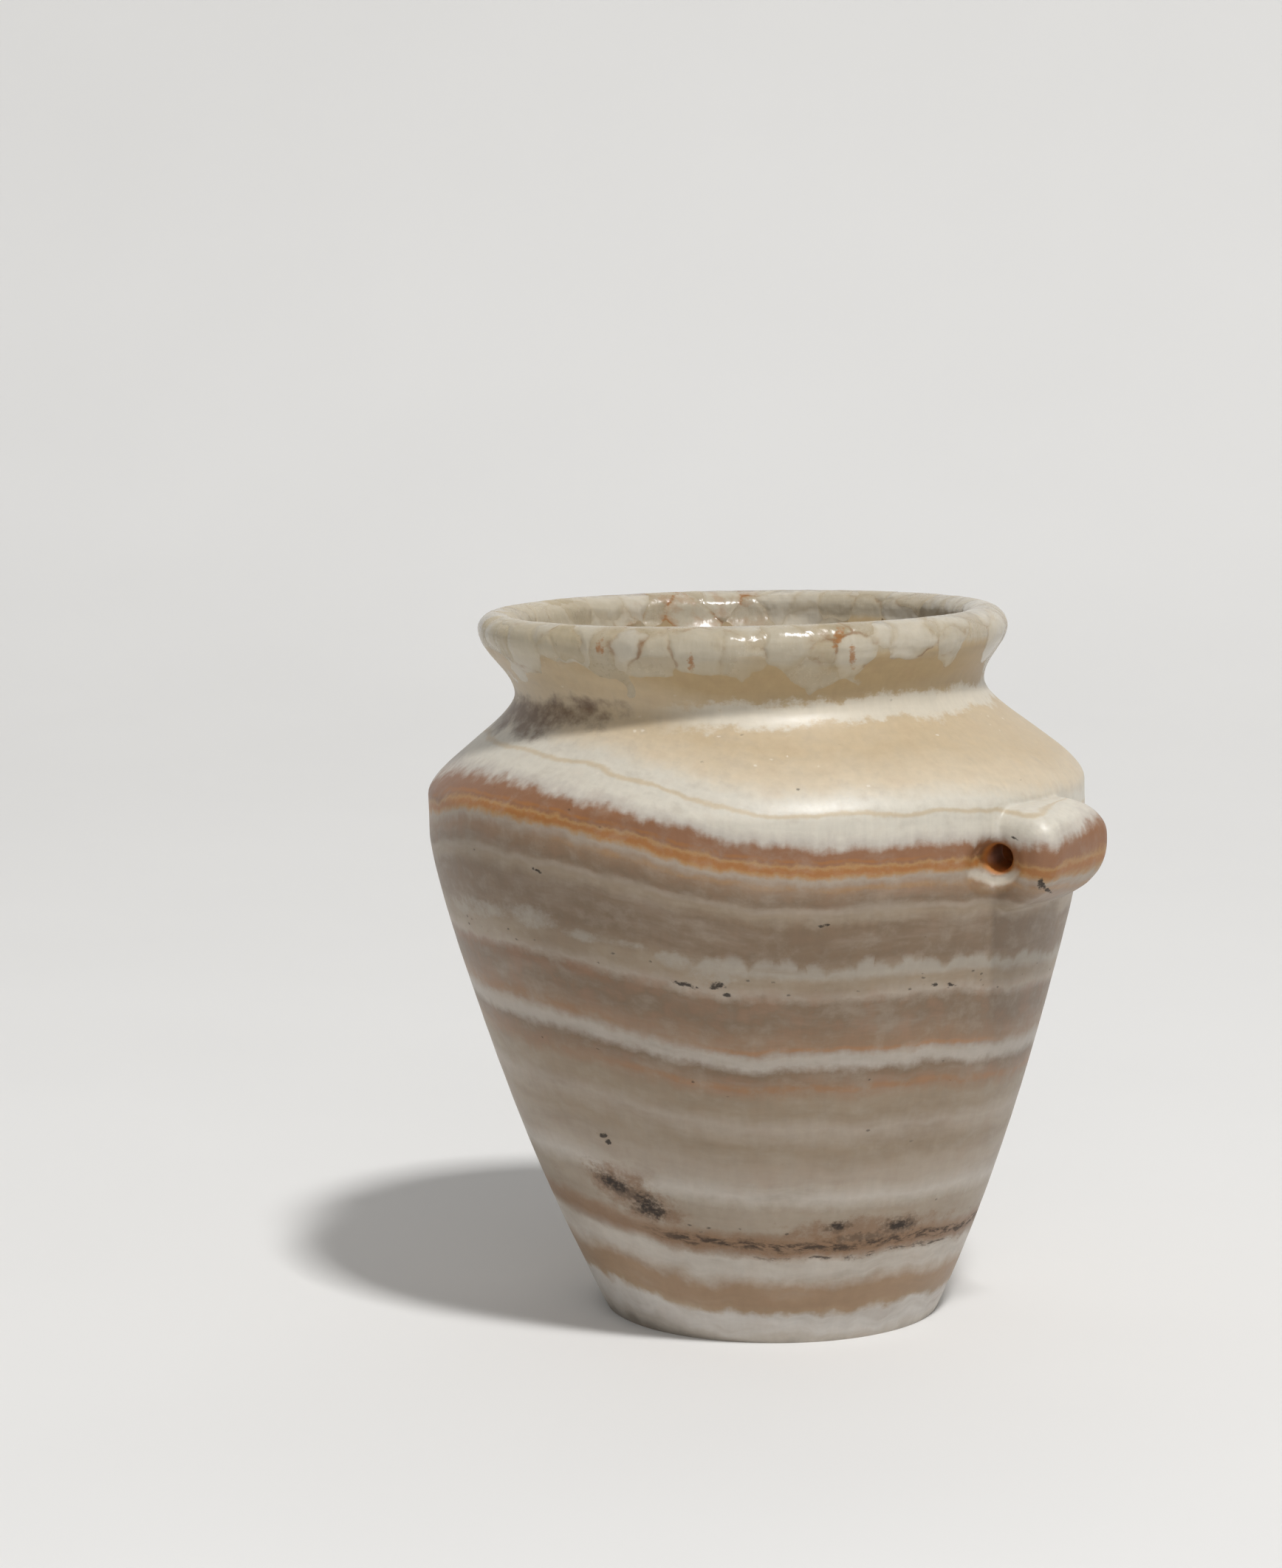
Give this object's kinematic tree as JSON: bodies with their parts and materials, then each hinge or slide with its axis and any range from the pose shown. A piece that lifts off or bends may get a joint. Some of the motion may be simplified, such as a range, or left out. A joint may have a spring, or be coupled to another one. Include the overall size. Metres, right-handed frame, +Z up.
{
  "type": "stone vase",
  "caption": "Squat carved stone jar with wide shoulders, a taper to a small flat foot, a low neck with a flaring lip, and drilled lugs at the widest part.",
  "frame": {"origin": "middle of the flat foot, on the surface that the vase stands on", "axes": "+Z up, the lugs on +X and -X, so that +Y and -Y are the broad faces between them"},
  "size_m": [0.1557, 0.1379, 0.154],
  "materials": {
    "banded_stone": "softly polished, banded cream, tan, taupe and rust",
    "crystalline_stone": "softly polished, coarse pale crystals with rust along their edges"
  },
  "bodies": {
    "root": {"body": "banded_stone", "neck_and_lip": "crystalline_stone", "lug_right": "banded_stone", "lug_left": "banded_stone"}
  },
  "joints": []
}
